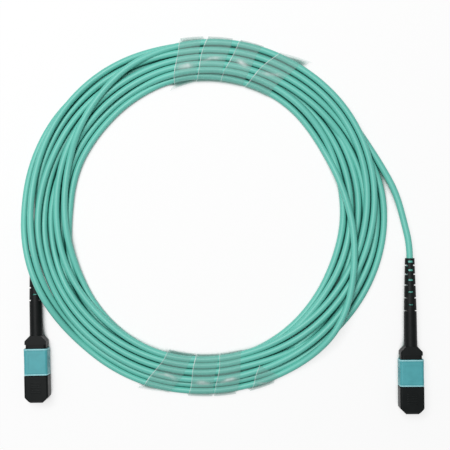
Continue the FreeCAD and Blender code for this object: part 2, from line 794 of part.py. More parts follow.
def make_film(start, flaps, cut=None):
    # Strip wound round the coil: over the turns, back under them, and on
    first, last = film_span(start)
    whole = film_section(film_gap + film_thickness)
    hollow = film_section(film_gap)
    shell = whole.cut(hollow)
    shell.rotate(coil_centre, V(0, 0, 1), first)
    shell = shell.revolve(coil_centre, V(0, 0, 1), last - first)
    middle = coil_height / 2
    lanes = []
    for turn in range(film_turns):
        outer = start + turn * film_step
        inner = outer + film_slant
        if cut and turn == film_turns - 1:
            lanes.append(film_end(outer, cut, middle, coil_height + film_overrun))
        else:
            lanes.append(film_lane(outer, inner, middle, coil_height + film_overrun))
        if turn < film_turns - 1:
            lanes.append(film_lane(outer + film_step, inner, -film_overrun, middle))
    strip = lanes[0].multiFuse(lanes[1:])
    strip = shell.common(strip)
    corners = [film_flap(start, *flap) for flap in flaps]
    return strip.multiFuse(corners).removeSplitter()


def save(shape, name):
    solids = shape.Solids
    print(name, len(solids), "solids", round(shape.Volume, 2), "mm3", shape.isValid())
    shape.exportStep("parts/" + name + ".step")


plug_pieces = {
    "boot": make_boot,
    "crimp_ring": make_crimp_ring,
    "back_body": make_back_body,
    "inner_housing": make_inner_housing,
    "ferrule": make_ferrule,
    "ferrule_boot": make_ferrule_boot,
    "pin_keeper": make_pin_keeper,
    "ferrule_spring": make_ferrule_spring,
    "sleeve_springs": make_sleeve_springs,
    "fibre_ribbon": make_fibre_ribbon,
    "coupling_sleeve": make_coupling_sleeve,
    "dust_cap": make_dust_cap,
    "cable_end": make_cable_end,
}

os.makedirs("parts", exist_ok=True)
for piece, make in plug_pieces.items():
    shape = make()
    for plug in plugs:
        save(place_plug(shape, plug), "plug_" + plug + "_" + piece)
save(cord_tube("tail a", tail_a_points), "cable_tail_a")
save(cord_tube("tail b", tail_b_points), "cable_tail_b")
save(make_cable_coil(), "cable_coil")
save(make_film(top_film_start, top_film_flaps), "film_top")
save(make_film(bottom_film_start, bottom_film_flaps, bottom_film_end), "film_bottom")
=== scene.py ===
import json
import math

import bmesh
import bpy
import numpy as np
from mathutils import Matrix, Vector


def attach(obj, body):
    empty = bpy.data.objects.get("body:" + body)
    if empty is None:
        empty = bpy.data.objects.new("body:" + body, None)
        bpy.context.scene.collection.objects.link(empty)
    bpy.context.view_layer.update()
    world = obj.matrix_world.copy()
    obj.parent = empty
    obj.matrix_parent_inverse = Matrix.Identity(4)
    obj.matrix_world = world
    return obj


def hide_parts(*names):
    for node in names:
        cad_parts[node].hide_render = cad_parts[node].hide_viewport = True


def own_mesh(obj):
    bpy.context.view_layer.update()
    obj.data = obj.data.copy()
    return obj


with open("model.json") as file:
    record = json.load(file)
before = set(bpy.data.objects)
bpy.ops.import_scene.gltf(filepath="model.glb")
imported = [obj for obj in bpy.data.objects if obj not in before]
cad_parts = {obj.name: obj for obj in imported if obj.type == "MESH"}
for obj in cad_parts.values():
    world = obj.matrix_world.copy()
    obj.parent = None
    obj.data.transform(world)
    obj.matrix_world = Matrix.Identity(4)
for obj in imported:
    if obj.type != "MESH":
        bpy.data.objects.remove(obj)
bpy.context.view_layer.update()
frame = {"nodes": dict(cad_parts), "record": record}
mm = 0.001
mergeGap = 0.0001 * mm  # points closer than this become one
print("frame loaded,", len(frame["nodes"]), "nodes")


# Small tools

def linked(obj):
    bpy.context.scene.collection.objects.link(obj)
    return obj


def smoothStep(x, low, high):
    # eases from 0 at low to 1 at high
    t = np.clip((x - low) / (high - low), 0, 1)
    return t * t * (3 - 2 * t)


def plateau(x, first, last, ramp):
    # 1 between first and last, easing to 0 over the ramp on both sides
    return smoothStep(x, first - ramp, first) * (1 - smoothStep(x, last, last + ramp))


def smoothThrough(x, knotX, knotY):
    # cubic through the knots, with the slopes that their neighbours give
    slope = np.gradient(knotY, knotX)
    i = np.clip(np.searchsorted(knotX, x) - 1, 0, len(knotX) - 2)
    h = knotX[i + 1] - knotX[i]
    t = (x - knotX[i]) / h
    start = (2 * t ** 3 - 3 * t ** 2 + 1) * knotY[i] + (t ** 3 - 2 * t ** 2 + t) * h * slope[i]
    end = (3 * t ** 2 - 2 * t ** 3) * knotY[i + 1] + (t ** 3 - t ** 2) * h * slope[i + 1]
    return start + end


def gridMesh(name, points, uv=None):
    # points is rows x columns x 3, or a stack of such grids; faces join neighbours in both directions, and
    # points that meet at a seam or a pole become one
    points = points.reshape(-1, *points.shape[-3:])
    index = np.arange(points[..., 0].size).reshape(points.shape[:3])
    corners = [index[:, :-1, :-1], index[:, 1:, :-1], index[:, 1:, 1:], index[:, :-1, 1:]]
    quads = np.stack(corners, -1).reshape(-1, 4)
    mesh = bpy.data.meshes.new(name)
    mesh.from_pydata(points.reshape(-1, 3).tolist(), [], quads.tolist())
    mesh.polygons.foreach_set("use_smooth", np.ones(len(quads), bool))
    if uv is not None:
        layer = mesh.uv_layers.new(name="UVMap")
        layer.data.foreach_set("uv", uv.reshape(-1, 2)[quads.ravel()].astype(np.float32).ravel())
    closed = bmesh.new()
    closed.from_mesh(mesh)
    bmesh.ops.remove_doubles(closed, verts=closed.verts, dist=mergeGap)
    closed.to_mesh(mesh)
    closed.free()
    mesh.update()
    return linked(bpy.data.objects.new(name, mesh))


# Camera: above the coil, a little to the right, looking down

# places and the width that it sees in metres, sensor in mm
shot = {"over": (0.0127, 0.0, 0.48), "aim": (0.0023, 0.0001, 0.003), "span": 0.234, "near": 0.01,
        "sensor": 36}


def makeCamera():
    data = bpy.data.cameras.new("camera")
    cam = linked(bpy.data.objects.new("camera", data))
    place = Vector(shot["over"])
    back = place - Vector(shot["aim"])
    data.sensor_width = shot["sensor"]
    data.lens = shot["sensor"] * back.length / shot["span"]
    data.clip_start = shot["near"]
    back.normalize()
    right = Vector((0, 1, 0)).cross(back).normalized()
    up = back.cross(right)
    turn = Matrix((right, up, back)).transposed()
    cam.matrix_world = Matrix.Translation(place) @ turn.to_4x4()
    bpy.context.scene.camera = cam


makeCamera()
print("camera set")


# Cable: one spline from boot to boot, nine and a half turns in two loose layers

cable = {
    "diameter": 3.4, "lie": 1.82,  # mm; lie is the height of a strand's centre on the table
    "length": 4.96,  # m
    "step": 10, "smooth": 8, "round": 5,  # degrees between the winding's points, tube's steps along and round
}
coilCentre = np.array([-8.0, 5.0])
# rear end of each boot, the plug's turn in degrees, the height of its axis, how far the cable runs straight
# behind it and the points from there to the coil
plugA = {"end": (97.7, -17.0), "lean": 0.6, "height": 4.3, "straight": 7.0,
         "tail": [(95.0, 1.7, 3.2), (91.7, 14.5, 2.5), (86.7, 25.4, 2.4)]}
plugB = {"end": (-96.9, -12.0), "lean": 1.3, "height": 4.3, "straight": 7.4,
         "tail": [(-95.9, 2.3, 2.8), (-95.6, 9.8, 1.82)]}
# each turn's radius in mm at chosen angles in degrees, counted from the right and anticlockwise
turns = [
    {22: 91.9, 30: 90.5, 45: 89.3, 60: 88.9, 80: 88.9, 100: 89.4, 110: 90.1, 120: 90.9, 140: 91.8, 150: 91.7,
     160: 91.3, 185: 90.2, 200: 90.5, 210: 91.1, 220: 90.5, 240: 89.4, 250: 89.2, 270: 87.8, 290: 87.7,
     305: 89.2, 315: 89.7, 326: 90.8, 335: 91.7, 345: 92.5},
    {0: 92.9, 10: 92.3, 20: 90.1, 30: 87.5, 45: 85.6, 60: 85.1, 100: 85.3, 110: 86.4, 120: 88.3, 130: 90.3,
     140: 92.4, 160: 94.1, 180: 94.5, 190: 94.0, 200: 93.9, 210: 93.4, 220: 93.0, 240: 92.7, 260: 91.9,
     270: 91.2, 290: 91.1, 310: 90.8, 320: 89.5, 330: 85.8, 340: 81.3, 350: 78.0},
    {0: 75.1, 10: 72.4, 20: 70.9, 30: 70.1, 40: 70.6, 50: 71.6, 60: 72.1, 80: 72.4, 100: 72.9, 120: 71.6,
     140: 70.6, 160: 71.2, 180: 71.0, 190: 72.5, 200: 75.0, 220: 77.8, 250: 79.7, 270: 79.6, 290: 77.8,
     310: 74.7, 320: 73.9, 340: 74.5, 350: 75.0},
    {0: 75.5, 30: 76.9, 60: 77.4, 100: 77.8, 120: 78.7, 140: 81.0, 150: 82.2, 160: 83.0, 180: 84.1, 195: 84.5,
     215: 83.9, 235: 82.8, 250: 82.0, 270: 81.2, 290: 80.9, 300: 82.7, 312: 85.5, 320: 85.8, 345: 84.4},
    {0: 83.3, 20: 83.2, 30: 81.9, 40: 80.7, 60: 79.4, 80: 79.0, 100: 78.6, 120: 77.7, 135: 77.1, 150: 77.4,
     165: 79.2, 180: 80.7, 195: 81.3, 215: 80.6, 235: 79.2, 250: 78.3, 270: 77.8, 290: 77.4, 305: 79.3,
     320: 81.0, 340: 83.6, 350: 85.4},
    {0: 87.0, 10: 88.6, 20: 89.7, 30: 90.7, 60: 90.8, 80: 90.4, 90: 89.9, 100: 88.8, 110: 87.6, 120: 85.8,
     130: 82.8, 140: 80.3, 150: 77.8, 160: 75.6, 170: 74.0, 180: 73.0, 200: 72.3, 220: 74.1, 250: 75.9,
     270: 75.7, 290: 74.8, 305: 73.4, 320: 72.0, 340: 70.9},
    {0: 71.8, 13: 72.1, 30: 73.7, 50: 75.1, 60: 75.6, 100: 75.3, 120: 74.5, 140: 74.1, 160: 74.6, 180: 74.4,
     190: 76.2, 200: 78.9, 220: 81.6, 250: 83.5, 270: 83.5, 290: 82.8, 305: 82.8, 315: 82.8, 325: 81.2,
     335: 78.7, 342: 78.0, 350: 78.5},
    {0: 79.7, 15: 80.3, 30: 80.7, 60: 81.2, 100: 82.1, 112: 83.5, 130: 84.4, 160: 85.0, 170: 86.0, 180: 86.9,
     195: 87.3, 205: 87.7, 215: 87.5, 235: 86.5, 250: 85.8, 270: 85.1, 290: 84.6, 305: 85.4, 320: 86.0,
     330: 86.6, 340: 88.0, 350: 89.1},
    {0: 89.2, 10: 88.5, 20: 87.1, 30: 85.5, 45: 83.9, 60: 83.0, 80: 82.6, 100: 82.0, 120: 81.3, 140: 80.7,
     150: 80.1, 160: 79.1, 170: 78.0, 180: 77.3, 200: 76.8, 220: 75.4, 240: 75.1, 250: 75.3, 270: 74.6,
     290: 74.4, 305: 75.3, 320: 77.0, 340: 79.8, 350: 81.8},
    {0: 83.1, 10: 85.0, 20: 86.2, 30: 87.1, 40: 87.5, 60: 86.9, 80: 86.3, 100: 85.6, 110: 85.9, 120: 86.9,
     130: 87.9, 140: 88.7, 160: 88.9, 172: 88.8},
]
# where a turn rides on others: its number, first and last angle, ramp, height of its centre in mm
humps = [
    (0, 18, 26, 14, 2.5), (0, 124, 170, 18, 4.6), (0, 184, 199, 18, 9.3),
    (1, 193, 208, 18, 9.3), (1, 318, 342, 20, 8.0), (1, 318, 360, 20, 5.7),
    (2, -10, 12, 16, 5.1), (2, 312, 342, 14, 4.4),
    (3, 188, 294, 14, 4.5),
    (4, 42, 142, 16, 4.6), (4, 207, 365, 14, 4.75),
    (5, -8, 188, 18, 4.65), (5, 112, 148, 14, 7.6),
    (6, 47, 105, 18, 4.6),
    (7, 150, 326, 18, 4.6), (7, 182, 194, 12, 7.0),
    (8, 48, 365, 18, 4.65), (8, 222, 258, 14, 5.0),
    (9, -8, 120, 18, 4.65),
]


def plugPoint(plug, forward):
    # a point on the plug's axis, so far ahead of the boot's rear end
    turn = math.radians(plug["lean"])
    x, y = plug["end"]
    return (x + forward * math.sin(turn), y - forward * math.cos(turn), plug["height"])


def tailPoints(plug):
    # the free end from the boot to the coil
    return [plugPoint(plug, 0), plugPoint(plug, -plug["straight"]), *plug["tail"]]


def roundCoil(angle, radius, height):
    # places round the coil's centre, from degrees and mm
    turn = np.radians(angle)
    x = coilCentre[0] + radius * np.cos(turn)
    y = coilCentre[1] + radius * np.sin(turn)
    return np.stack([x, y, height], -1)


def cableRoute():
    # the free ends follow the solids' points, three of them moved by under 1 mm; between them the winding is
    # worked out step by step, a little wide because the spline cuts its corners
    knots = np.array([(360 * k + a, r) for k, turn in enumerate(turns) for a, r in turn.items()])
    angle = np.arange(knots[0, 0] + cable["step"] / 2, knots[-1, 0], cable["step"])
    radius = smoothThrough(angle, knots[:, 0], knots[:, 1])
    radius = radius / math.cos(math.radians(cable["step"]) / 2)
    height = np.full(len(angle), cable["lie"])
    for k, first, last, ramp, top in humps:
        rise = plateau(angle, 360 * k + first, 360 * k + last, ramp)
        height = np.maximum(height, cable["lie"] + (top - cable["lie"]) * rise)
    winding = roundCoil(angle, radius, height)
    return np.concatenate([tailPoints(plugA), winding, tailPoints(plugB)[::-1]]) * mm


def splineCurve(name, points, bevel):
    curve = bpy.data.curves.new(name, "CURVE")
    curve.dimensions = "3D"
    spline = curve.splines.new("NURBS")
    spline.points.add(len(points) - 1)
    spline.points.foreach_set("co", np.concatenate([points, np.ones((len(points), 1))], 1).ravel())
    spline.order_u = 3  # quadratic
    spline.use_endpoint_u = True
    spline.resolution_u = cable["smooth"]
    curve.bevel_depth = bevel
    curve.bevel_resolution = cable["round"]
    curve.use_fill_caps = bevel > 0
    return linked(bpy.data.objects.new(name, curve))


def lineOf(points):
    # the spline's own line, read back as points
    probe = splineCurve("probe", points, 0)
    mesh = bpy.data.meshes.new_from_object(probe)
    line = np.empty(len(mesh.vertices) * 3)
    mesh.vertices.foreach_get("co", line)
    bpy.data.objects.remove(probe)
    return line.reshape(-1, 3)


routePoints = cableRoute()
cableLine = lineOf(routePoints)
cableLength = np.linalg.norm(np.diff(cableLine, axis=0), axis=1).sum()
print("cable", len(routePoints), "points,", round(cableLength, 4), "m")


# Node tools for the finishes

def newMaterial(name):
    material = bpy.data.materials.new(name)
    material.use_nodes = True
    return material, material.node_tree, material.node_tree.nodes["Principled BSDF"]


def setInput(tree, socket, value):
    # a link where the value is another node's output
    if isinstance(value, bpy.types.NodeSocket):
        tree.links.new(value, socket)
    else:
        socket.default_value = value


def mathNode(tree, operation, *values):
    node = tree.nodes.new("ShaderNodeMath")
    node.operation = operation
    for socket, value in zip(node.inputs, values):
        setInput(tree, socket, value)
    return node.outputs[0]


def rangeNode(tree, value, low, high, ease="SMOOTHSTEP"):
    # rises from 0 at the low value to 1 at the high one
    node = tree.nodes.new("ShaderNodeMapRange")
    node.interpolation_type = ease
    node.inputs["From Min"].default_value = low
    node.inputs["From Max"].default_value = high
    tree.links.new(value, node.inputs["Value"])
    return node.outputs["Result"]


def noiseNode(tree, vector, scale, detail):
    node = tree.nodes.new("ShaderNodeTexNoise")
    node.inputs["Detail"].default_value = detail
    tree.links.new(vector, node.inputs["Vector"])
    setInput(tree, node.inputs["Scale"], scale)
    return node.outputs["Fac"]


def mixNode(tree, factor, first, second):
    # goes from the first colour to the second as the factor rises
    node = tree.nodes.new("ShaderNodeMix")
    node.data_type = "RGBA"
    for name, value in (("Factor", factor), ("A", first), ("B", second)):
        setInput(tree, node.inputs[name], value)
    return node.outputs["Result"]


def openNode(tree, reach, samples, ownOnly):
    # 1 in the open and less where surfaces within reach close in, its own object's only or all
    node = tree.nodes.new("ShaderNodeAmbientOcclusion")
    node.samples = samples
    node.only_local = ownOnly
    node.inputs["Distance"].default_value = reach
    return node.outputs["AO"]


# Finishes: a grain that they share, then the jacket and the moulded and metal parts

wander = {"patchDetail": 3, "grainDetail": 4, "grainShare": 0.5}
# painted shade in the creases between strands: how far to look for nearby surfaces of the cable, samples, and
# the range of openness over which the dark colour fades out
creaseShade = {"reach": 2.5 * mm, "samples": 8, "range": (0.1, 0.6)}
# patch and grain are counts a metre, shade and polish how far they change colour and roughness; depth in mm
looks = {
    # the jacket's last colour is a painted shade for the creases between strands
    "cable_jacket": {"color": (0.14, 0.54, 0.45), "roughness": 0.42, "patch": 35, "grain": 2600,
                     "shade": 0.16, "polish": 0.2, "bump": 0.25, "depth": 0.03,
                     "creaseShade": (0.004, 0.16, 0.12)},
    "boot_black": {"color": (0.007, 0.0085, 0.0085), "roughness": 0.45, "patch": 160, "grain": 5000,
                   "shade": 0.5, "polish": 0.25, "bump": 0.3, "depth": 0.03, "specular": 0.16},
    "cap_black": {"color": (0.007, 0.0088, 0.0088), "roughness": 0.4, "patch": 200, "grain": 7000,
                  "shade": 0.4, "polish": 0.2, "bump": 0.25, "depth": 0.02, "specular": 0.14},
    "housing_black": {"color": (0.007, 0.008, 0.008), "roughness": 0.45, "patch": 200, "grain": 7000,
                      "shade": 0.4, "polish": 0.2, "bump": 0.2, "depth": 0.02, "specular": 0.14},
    "sleeve_turquoise": {"color": (0.07, 0.36, 0.395), "roughness": 0.45, "patch": 260, "grain": 6000,
                         "shade": 0.22, "polish": 0.2, "bump": 0.25, "depth": 0.02},
    "ferrule_grey": {"color": (0.035, 0.037, 0.04), "roughness": 0.35, "patch": 500, "grain": 9000,
                     "shade": 0.5, "polish": 0.2, "bump": 0.15, "depth": 0.01},
    "silicone_white": {"color": (0.7, 0.7, 0.68), "roughness": 0.6, "patch": 400, "grain": 5000,
                       "shade": 0.1, "polish": 0.15, "bump": 0.2, "depth": 0.02},
    "keeper_steel": {"color": (0.55, 0.55, 0.56), "roughness": 0.32, "patch": 300, "grain": 9000,
                     "shade": 0.15, "polish": 0.3, "bump": 0.15, "depth": 0.01, "metallic": 1},
    "spring_steel": {"color": (0.6, 0.6, 0.62), "roughness": 0.25, "patch": 300, "grain": 9000,
                     "shade": 0.15, "polish": 0.25, "bump": 0.1, "depth": 0.01, "metallic": 1},
    "crimp_metal": {"color": (0.7, 0.7, 0.72), "roughness": 0.36, "patch": 300, "grain": 6000,
                    "shade": 0.15, "polish": 0.3, "bump": 0.2, "depth": 0.02, "metallic": 1},
    "fibre_coating": {"color": (0.45, 0.7, 0.66), "roughness": 0.35, "patch": 400, "grain": 9000,
                      "shade": 0.15, "polish": 0.2, "bump": 0.1, "depth": 0.01},
}


def grainGroup():
    # colour and roughness wander a little, with a fine height for the bump
    group = bpy.data.node_groups.new("surfaceGrain", "ShaderNodeTree")
    face = group.interface
    face.new_socket("Color", in_out="INPUT", socket_type="NodeSocketColor")
    for name in ("Roughness", "Patch scale", "Grain scale", "Shade", "Polish"):
        face.new_socket(name, in_out="INPUT", socket_type="NodeSocketFloat")
    face.new_socket("Color", in_out="OUTPUT", socket_type="NodeSocketColor")
    for name in ("Roughness", "Height"):
        face.new_socket(name, in_out="OUTPUT", socket_type="NodeSocketFloat")
    given = group.nodes.new("NodeGroupInput").outputs
    result = group.nodes.new("NodeGroupOutput").inputs
    place = group.nodes.new("ShaderNodeTexCoord").outputs["Object"]
    patch = noiseNode(group, place, given["Patch scale"], wander["patchDetail"])
    grain = noiseNode(group, place, given["Grain scale"], wander["grainDetail"])
    both = mathNode(group, "ADD", patch, mathNode(group, "MULTIPLY", grain, wander["grainShare"]))
    change = mathNode(group, "SUBTRACT", both, (1 + wander["grainShare"]) / 2)
    shade = mathNode(group, "MULTIPLY_ADD", change, given["Shade"], 1.0)
    roughness = mathNode(group, "MULTIPLY_ADD", change, given["Polish"], given["Roughness"])
    tint = group.nodes.new("ShaderNodeVectorMath")
    tint.operation = "SCALE"
    group.links.new(given["Color"], tint.inputs[0])
    group.links.new(shade, tint.inputs["Scale"])
    group.links.new(tint.outputs[0], result["Color"])
    group.links.new(roughness, result["Roughness"])
    group.links.new(grain, result["Height"])
    return group


def paintCreaseShade(tree, shade, look):
    # painted shade: the colour deepens towards a dark teal where other surfaces of the cable close in on it,
    # standing in for the shade in the creases between strands
    near = openNode(tree, creaseShade["reach"], creaseShade["samples"], True)
    room = rangeNode(tree, near, *creaseShade["range"], ease="LINEAR")
    return mixNode(tree, room, (*look["creaseShade"], 1), shade)


def grainedMaterial(name, look):
    material, tree, bsdf = newMaterial(name)
    grain = tree.nodes.new("ShaderNodeGroup")
    grain.node_tree = surfaceGrain
    grain.inputs["Color"].default_value = (*look["color"], 1)
    grain.inputs["Roughness"].default_value = look["roughness"]
    grain.inputs["Patch scale"].default_value = look["patch"]
    grain.inputs["Grain scale"].default_value = look["grain"]
    grain.inputs["Shade"].default_value = look["shade"]
    grain.inputs["Polish"].default_value = look["polish"]
    shade = grain.outputs["Color"]
    # painted shade in the creases, where a look asks for it
    if "creaseShade" in look:
        shade = paintCreaseShade(tree, shade, look)
    tree.links.new(shade, bsdf.inputs["Base Color"])
    tree.links.new(grain.outputs["Roughness"], bsdf.inputs["Roughness"])
    relief = tree.nodes.new("ShaderNodeBump")
    relief.inputs["Strength"].default_value = look["bump"]
    relief.inputs["Distance"].default_value = look["depth"] * mm
    tree.links.new(grain.outputs["Height"], relief.inputs["Height"])
    tree.links.new(relief.outputs["Normal"], bsdf.inputs["Normal"])
    bsdf.inputs["Metallic"].default_value = look.get("metallic", 0)
    bsdf.inputs["Specular IOR Level"].default_value = look.get("specular", 0.5)
    return material


surfaceGrain = grainGroup()
finishes = {slot: grainedMaterial(slot, look) for slot, look in looks.items()}
for part in frame["record"]["subparts"]:
    if part["material_slot"] in finishes:
        node = frame["nodes"][part["node"]]
        node.data.materials.clear()
        node.data.materials.append(finishes[part["material_slot"]])
print("finishes made,", len(finishes))


# Plugs: a rounded rim at both ends of the sleeve, coloured paler as a painted highlight, low ribs across the
# cap and wound springs inside

def onPlug(plug, x, y, z):
    # mm across the plug's axis, along it from the boot's rear end and above it, turned into the shared frame
    turn = math.radians(plug["lean"])
    endX, endY = plug["end"]
    worldX = endX + y * math.sin(turn) + x * math.cos(turn)
    worldY = endY - y * math.cos(turn) + x * math.sin(turn)
    return np.stack([worldX, worldY, plug["height"] + z], -1)


# half is the sleeve's half width and height; proud is how high the crest stands, and sink which share of that
# the edges lie below the face
rim = {"starts": (52.06, 65.06), "length": 0.7, "half": (6.2, 4.1), "corner": 1.5, "proud": 0.1, "sink": 0.4,
       "around": 44, "across": 8}
# the rim's paler colour is a painted highlight, for light caught on the sleeve's end edges
rimPaintedHighlight = grainedMaterial("sleeve_rim_painted_highlight", {**looks["sleeve_turquoise"], "color": (0.3, 0.62, 0.66)})


def makeRim(name, plug, start):
    # round the sleeve each point lies a corner's radius out from the nearest corner's centre; along it the
    # rim swells like half a sine wave, and both of its edges sink into the sleeve
    around = (np.arange(rim["around"] + 1) + 0.5) * 2 * np.pi / rim["around"]
    across = np.linspace(0, np.pi, rim["across"] + 1)
    around, across = np.meshgrid(around, across, indexing="ij")
    out = rim["corner"] + rim["proud"] * ((1 + rim["sink"]) * np.sin(across) - rim["sink"])
    x = np.sign(np.cos(around)) * (rim["half"][0] - rim["corner"]) + out * np.cos(around)
    z = np.sign(np.sin(around)) * (rim["half"][1] - rim["corner"]) + out * np.sin(around)
    y = start + rim["length"] * (1 - np.cos(across)) / 2
    return gridMesh(name, onPlug(plug, x, y, z) * mm)


# face is the cap's upper face above the axis, ramp the length over which a rib comes down at its ends, and
# along the number of steps for each rib
ribs = {"first": 69.6, "pitch": 1.25, "count": 5, "width": 5.8, "face": 4.3, "proud": 0.16, "sink": 0.2,
        "ramp": 0.4, "along": 16, "across": 16}


def makeRibs(name, plug):
    # a patch on the cap's upper face that rises in one cosine bump a rib and sinks below the face between
    ribPlace = np.linspace(-0.5, ribs["count"] - 0.5, ribs["along"] * ribs["count"] + 1)
    y = ribs["first"] + ribPlace * ribs["pitch"]
    x = np.linspace(-0.5, 0.5, ribs["across"] + 1) * ribs["width"]
    x, y = np.meshgrid(x, y)
    bump = np.cos(2 * np.pi * (y - ribs["first"]) / ribs["pitch"])
    ends = np.clip((ribs["width"] / 2 - np.abs(x)) / ribs["ramp"], 0, 1)
    z = ribs["face"] + ribs["proud"] * (np.minimum(bump, 2 * ends - 1) - ribs["sink"])
    return gridMesh(name, onPlug(plug, x, y, z) * mm)


# half is the helix's half width and height, aside its places across the plug and ends those along it; travel
# is how far its joint presses it
springs = {
    "ferrule": {"node": "ferrule_spring", "wire": 0.45, "turns": 6, "half": (3.3, 1.9), "aside": (0,),
                "ends": (55.85, 64.3), "travel": 1.0},
    "sleeve": {"node": "sleeve_springs", "wire": 0.22, "turns": 7, "half": (0.6, 0.6), "aside": (-4.75, 4.75),
               "ends": (55.85, 62.3), "travel": 2.0},
}
# steps for each turn and round the wire, and the pitch of the end turns as a multiple of the wire
wound = {"perTurn": 24, "round": 8, "endPitch": 1.05}


def makeSprings(name, plug, spring):
    # a circle of the wire's size is carried round an oval helix that lies close at both ends, where it
    # shrinks to a point to close the wire
    half = spring["wire"] / 2
    turned = np.linspace(0, spring["turns"], wound["perTurn"] * spring["turns"] + 1)
    turned = np.concatenate([turned[:1], turned, turned[-1:]])
    thick = np.full(len(turned), half)
    thick[[0, -1]] = 0
    first, last = spring["ends"][0] + half, spring["ends"][1] - half
    close = spring["wire"] * wound["endPitch"]
    along = np.interp(turned, [0, 1, spring["turns"] - 1, spring["turns"]],
                      [first, first + close, last - close, last])
    wire = np.linspace(0, 2 * np.pi, wound["round"] + 1)
    turn = 2 * np.pi * turned[:, None]
    out = thick[:, None] * np.cos(wire) - half
    x = (spring["half"][0] + out) * np.cos(turn)
    z = (spring["half"][1] + out) * np.sin(turn)
    y = along[:, None] + thick[:, None] * np.sin(wire)
    return gridMesh(name, np.stack([onPlug(plug, x + aside, y, z) for aside in spring["aside"]]) * mm)


for side, plug in (("a", plugA), ("b", plugB)):
    for kind, spring in springs.items():
        piece = makeSprings(kind + "_" + side + "_wire", plug, spring)
        piece.data.materials.append(finishes["spring_steel"])
        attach(piece, "cable")
        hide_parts("plug_" + side + "_" + spring["node"])
        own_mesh(piece)
    for end, start in zip(("rear", "front"), rim["starts"]):
        piece = makeRim("sleeve_" + side + "_" + end + "_rim", plug, start)
        piece.data.materials.append(rimPaintedHighlight)
        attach(piece, "sleeve_" + side)
    piece = makeRibs("cap_" + side + "_ribs", plug)
    piece.data.materials.append(finishes["cap_black"])
    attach(piece, "cap_" + side)
print("rims, ribs and springs made")


# Cable: the spline becomes a tube, and the plugs' pieces go with it

cableCurve = splineCurve("cable", routePoints, cable["diameter"] / 2 * mm)
cableCurve.data.materials.append(finishes["cable_jacket"])
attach(cableCurve, "cable")
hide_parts("cable_coil", "cable_tail_a", "cable_tail_b")
print("cable laid")


# Films: a clear strip goes over the bundle to the inside, back under it, and so on round it

film = {
    "floor": 0.06, "lift": 0.1, "rimHeight": 2.8,  # mm under the coil, above the strands and at the rims
    "flapHeight": 1.4, "flapReach": 4.0,  # a loose end comes down to this height over this length
    "bend": 10,  # how sharply the strip turns up from the table
    "waver": 0.3, "ripple": (9, 1.7, 2),  # degrees sideways, in waves along, from row to row and across
    "steps": 44, "looseSteps": 8, "across": 16,
}
# the strands' upper outline as a table: steps in angle and radius, margin round the strip, smoothing passes
outline = {"angles": 60, "radii": 110, "margin": 1, "passes": 700}
# flat size in metres; start and end are loose ends, as (angle, radius) of both edges; over has the edges'
# angles at the outer and the inner rim, each time that the strip comes over; stop is a cut end on top
filmTop = {
    "rims": (69.9, 93.2), "flat": (0.0121, 0.198),
    "start": ((54.9, 97.3), (65.0, 93.3)),
    "over": [(57.7, 65.1, 62.3, 73.0), (71.0, 78.4, 74.2, 83.5), (81.1, 89.1, 83.3, 93.8),
             (90.7, 97.9, 94.2, 103.3)],
    "end": ((94.6, 69.7), (106.0, 67.6)),
    "bright": 1, "gleam": 0.03,  # which edge carries the painted glint, and how far along the painted gleam is moved
}
filmBottom = {
    "rims": (72.2, 94.1), "flat": (0.0121, 0.175),
    "start": ((248.2, 96.6), (258.4, 93.6)),
    "over": [(250.0, 258.5, 254.8, 265.3), (264.6, 272.2, 266.3, 275.3), (272.9, 279.9, 276.1, 285.2)],
    "stop": (284.4, 292.4, (290.0, 82.1), (294.7, 90.6)),
    "bright": 0, "gleam": -0.1,
}


def strandTop(angles, radii, rims):
    # upper outline of the strands at each angle, drawn nearly straight between the high ones and down to the
    # rims
    flat = cableLine / mm - [*coilCentre, 0]
    swept = np.degrees(np.unwrap(np.arctan2(flat[:, 1], flat[:, 0])))
    lap = angles[:, None] + 360 * np.arange(len(turns))
    at = np.interp(lap, swept, np.hypot(flat[:, 0], flat[:, 1]))[:, :, None]
    middle = np.interp(lap, swept, flat[:, 2])[:, :, None]
    inside = (cable["diameter"] / 2) ** 2 - (radii - at) ** 2
    top = np.where(inside > 0, middle + np.sqrt(np.maximum(inside, 0)), 0).max(axis=1)
    top[:, radii != np.clip(radii, *rims)] = 0
    edge = [np.argmin(np.abs(radii - r)) for r in rims]
    top[:, edge] = film["rimHeight"]
    for _ in range(outline["passes"]):
        top[:, 1:-1] = np.maximum(top[:, 1:-1], (top[:, :-2] + top[:, 2:]) / 2)
    return top


def tableAt(table, x, y, xs, ys):
    # value between the four nearest places of a table with even steps
    u = np.clip((x - xs[0]) / (xs[1] - xs[0]), 0, len(xs) - 1.001)
    v = np.clip((y - ys[0]) / (ys[1] - ys[0]), 0, len(ys) - 1.001)
    i, j = u.astype(int), v.astype(int)
    u, v = u - i, v - j
    low = table[i, j] * (1 - v) + table[i, j + 1] * v
    return low * (1 - u) + (table[i + 1, j] * (1 - v) + table[i + 1, j + 1] * v) * u


def filmRows(strip):
    # places (angle, radius) of both edges at each rim, from the loose start to the loose or cut end
    inner, outer = strip["rims"]
    rows = [strip["start"]]
    for a, b, c, d in strip["over"]:
        rows += [((a, outer), (b, outer)), ((c, inner), (d, inner))]
    if "stop" in strip:
        a, b, first, last = strip["stop"]
        rows += [((a, outer), (b, outer)), (first, last)]
    else:
        rows.append(strip["end"])
    return np.array(rows)


